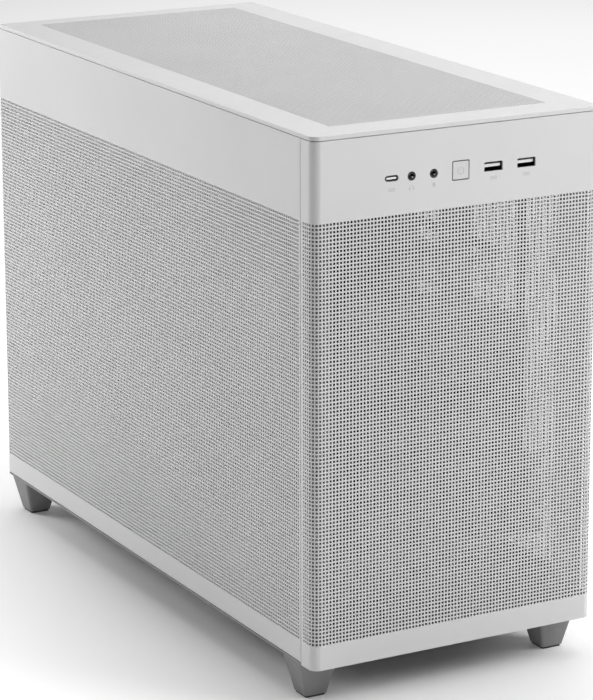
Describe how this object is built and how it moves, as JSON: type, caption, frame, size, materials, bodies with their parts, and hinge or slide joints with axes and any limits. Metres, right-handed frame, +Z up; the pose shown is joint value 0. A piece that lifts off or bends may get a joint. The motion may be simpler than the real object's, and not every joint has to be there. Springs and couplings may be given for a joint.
{
  "type": "desktop computer tower",
  "caption": "Compact desktop computer tower with pull-off perforated steel covers, front ports and power button, fans, cooler, graphics card and upright power supply inside.",
  "frame": {"origin": "middle of the footprint on the floor, under the feet", "axes": "+Z up, -Y towards the front with the ports, +X towards the motherboard side"},
  "size_m": [0.204, 0.46, 0.36],
  "materials": {
    "white_steel": "fine matt powder coat",
    "white_plastic": "matt moulded",
    "grey_foot": "matt moulded",
    "pad_rubber": "matt",
    "bare_steel": "satin",
    "fin_aluminium": "satin",
    "black_plastic": "matt moulded",
    "circuit_board": "solder mask",
    "black_steel": "fine texture",
    "brass_post": "turned",
    "cable_sleeve": "matt"
  },
  "bodies": {
    "chassis": {"base_pan": "white_steel", "rear_panel": "white_steel", "motherboard_tray": "white_steel", "front_frame": "white_steel", "top_frame": "white_steel", "power_supply_bracket": "white_steel", "slot_covers": "white_steel", "stud_sockets": "white_plastic", "front_io_bracket": "white_plastic", "front_left_foot": "grey_foot", "front_right_foot": "grey_foot", "rear_left_foot": "grey_foot", "rear_right_foot": "grey_foot", "foot_pads": "pad_rubber", "usb_c_port": "bare_steel", "usb_a_ports": "bare_steel", "board_screws": "bare_steel", "io_shield": "bare_steel", "graphics_bracket": "bare_steel", "chassis_screws": "bare_steel", "cooler_heatsink": "fin_aluminium", "board_heatsinks": "fin_aluminium", "graphics_heatsink": "fin_aluminium", "audio_jacks": "black_plastic", "power_switch": "black_plastic", "board_connectors": "black_plastic", "memory_slots": "black_plastic", "expansion_sockets": "black_plastic", "cooler_fan_frame": "black_plastic", "rear_fan_frame": "black_plastic", "graphics_shroud": "black_plastic", "power_supply_fan_frame": "black_plastic", "ac_inlets": "black_plastic", "processor_socket": "black_plastic", "motherboard": "circuit_board", "front_io_board": "circuit_board", "memory_modules": "circuit_board", "solid_state_drive": "circuit_board", "graphics_board": "circuit_board", "power_supply_housing": "black_steel", "board_standoffs": "brass_post", "main_power_cable": "cable_sleeve", "processor_power_cable": "cable_sleeve", "front_panel_cable": "cable_sleeve", "ac_extension_cable": "cable_sleeve", "fan_leads": "cable_sleeve"},
    "front_cover": {"front_cover": "white_steel", "front_cover_studs": "bare_steel"},
    "left_panel": {"left_side_panel": "white_steel", "left_panel_studs": "bare_steel"},
    "right_panel": {"right_side_panel": "white_steel", "right_panel_studs": "bare_steel"},
    "lid": {"top_cover": "white_steel", "top_cover_studs": "bare_steel"},
    "button": {"power_button": "white_plastic"},
    "rear_fan": {"rear_fan_rotor": "black_plastic"},
    "cooler_fan": {"cooler_fan_rotor": "black_plastic"},
    "graphics_fan": {"graphics_fan_rotor": "black_plastic"},
    "supply_fan": {"power_supply_fan_rotor": "black_plastic"},
    "supply_rocker": {"power_supply_rocker": "black_plastic"}
  },
  "joints": [
    {"name": "front_cover_pull", "type": "slide", "parent": "chassis", "child": "front_cover", "axis": [0, -1, 0], "range_m": [0, 0.12]},
    {"name": "left_panel_pull", "type": "slide", "parent": "chassis", "child": "left_panel", "axis": [-1, 0, 0], "range_m": [0, 0.12]},
    {"name": "right_panel_pull", "type": "slide", "parent": "chassis", "child": "right_panel", "axis": [1, 0, 0], "range_m": [0, 0.12]},
    {"name": "lid_lift", "type": "slide", "parent": "chassis", "child": "lid", "axis": [0, 0, 1], "range_m": [0, 0.1]},
    {"name": "button_press", "type": "slide", "parent": "chassis", "child": "button", "axis": [0, 1, 0], "range_m": [0, 0.0012], "stiffness_N_per_m": 400, "springref_m": -0.001},
    {"name": "rear_fan_spin", "type": "hinge", "parent": "chassis", "child": "rear_fan", "pos_m": [-0.034, 0.2, 0.282], "axis": [0, 1, 0], "continuous": true},
    {"name": "cooler_fan_spin", "type": "hinge", "parent": "chassis", "child": "cooler_fan", "pos_m": [-0.033, 0.09, 0.248], "axis": [0, 1, 0], "continuous": true},
    {"name": "graphics_fan_spin", "type": "hinge", "parent": "chassis", "child": "graphics_fan", "pos_m": [0.003, 0.131, 0.126], "axis": [0, 0, 1], "continuous": true},
    {"name": "supply_fan_spin", "type": "hinge", "parent": "chassis", "child": "supply_fan", "pos_m": [-0.01, -0.195, 0.154], "axis": [0, 1, 0], "continuous": true},
    {"name": "supply_rocker_tilt", "type": "hinge", "parent": "chassis", "child": "supply_rocker", "pos_m": [0.005, -0.164, 0.085], "axis": [0, 1, 0], "range_deg": [0, 16]}
  ]
}
